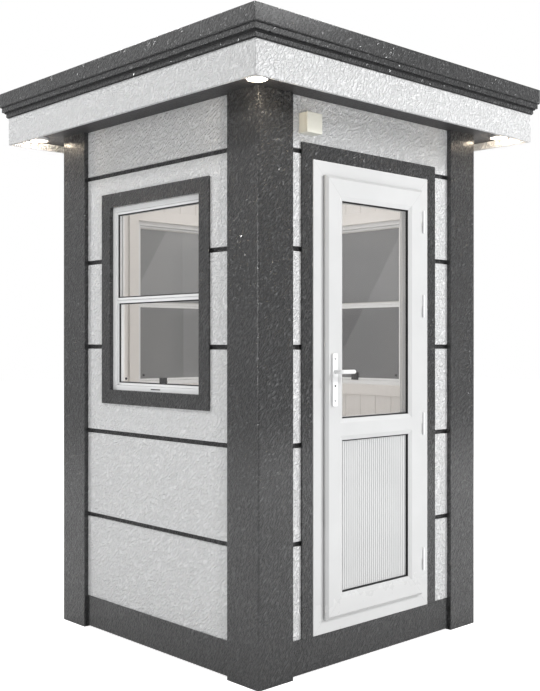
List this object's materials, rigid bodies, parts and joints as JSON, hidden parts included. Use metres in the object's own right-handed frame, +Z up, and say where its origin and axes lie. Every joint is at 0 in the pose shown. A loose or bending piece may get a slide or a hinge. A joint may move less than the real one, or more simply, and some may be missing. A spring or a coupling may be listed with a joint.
{
  "type": "modular guard cabin",
  "caption": "Square one-person guard cabin with corner posts, clad walls, sliding windows, a half-glazed door that opens, and a flat roof with lit eaves.",
  "frame": {"origin": "middle of the base, on the ground", "axes": "+Z up, the door faces -Y, the window wall of the picture faces -X"},
  "size_m": [1.972, 1.972, 2.724],
  "materials": {
    "dark_coat": "textured dark grey coat, semi-gloss",
    "white_render": "textured off-white coat, satin",
    "white_frame": "smooth white window plastic, satin gloss",
    "white_hardware": "white enamel, semi-gloss",
    "cream_lining": "tongued cream lining, satin",
    "glass": "clear double glazing",
    "wall_core": "dark grey backing, matt",
    "steel_beam": "primed steel, matt",
    "floor_board": "sealed floor board, matt",
    "roof_sheet": "grey roof sheet, matt",
    "lamp_lens": "frosted lens in a white ring",
    "cream_box": "cream moulded box, satin",
    "black_plastic": "black moulded plastic, satin"
  },
  "bodies": {
    "cabin": {"base_beams": "steel_beam", "floor_panel": "floor_board", "plinth_boards": "dark_coat", "inner_lining": "cream_lining", "ceiling_panel": "cream_lining", "soffit_boards": "wall_core", "roof_deck": "roof_sheet", "roof_cover": "roof_sheet", "fascia_boards": "white_render", "cornice_boards": "dark_coat", "downlights": "lamp_lens", "cable_box": "cream_box", "window_glass": "glass", "window_latches": "black_plastic", "inner_casings": "cream_lining", "door_surround": "dark_coat", "door_frame": "white_frame", "hinge_frame_halves": "white_hardware", "corner_post_front_left": "dark_coat", "corner_post_front_right": "dark_coat", "corner_post_rear_right": "dark_coat", "corner_post_rear_left": "dark_coat", "left_wall": "wall_core", "right_wall": "wall_core", "rear_wall": "wall_core", "front_wall_left": "wall_core", "front_wall_right": "wall_core", "front_wall_over_door": "wall_core", "cladding_front": "white_render", "cladding_right": "white_render", "cladding_rear": "white_render", "cladding_left": "white_render", "window_surround_left": "dark_coat", "window_frame_left": "white_frame", "window_sashes_left": "white_frame", "window_surround_right": "dark_coat", "window_frame_right": "white_frame", "window_sashes_right": "white_frame", "window_surround_rear": "dark_coat", "window_frame_rear": "white_frame", "window_sashes_rear": "white_frame"},
    "door": {"door_leaf": "white_frame", "door_glass": "glass", "door_panel": "white_frame", "handle_plates": "white_hardware", "hinge_leaf_halves": "white_hardware"},
    "lever": {"door_lever": "white_hardware"}
  },
  "joints": [
    {"name": "door_hinge", "type": "hinge", "parent": "cabin", "child": "door", "pos_m": [0.323, -0.758, 1.2], "axis": [0, 0, 1], "range_deg": [0, 100]},
    {"name": "lever_turn", "type": "hinge", "parent": "door", "child": "lever", "pos_m": [-0.313, -0.764, 1.305], "axis": [0, 1, 0], "range_deg": [0, 40], "stiffness_Nm_per_rad": 1, "springref_deg": -20.05}
  ]
}
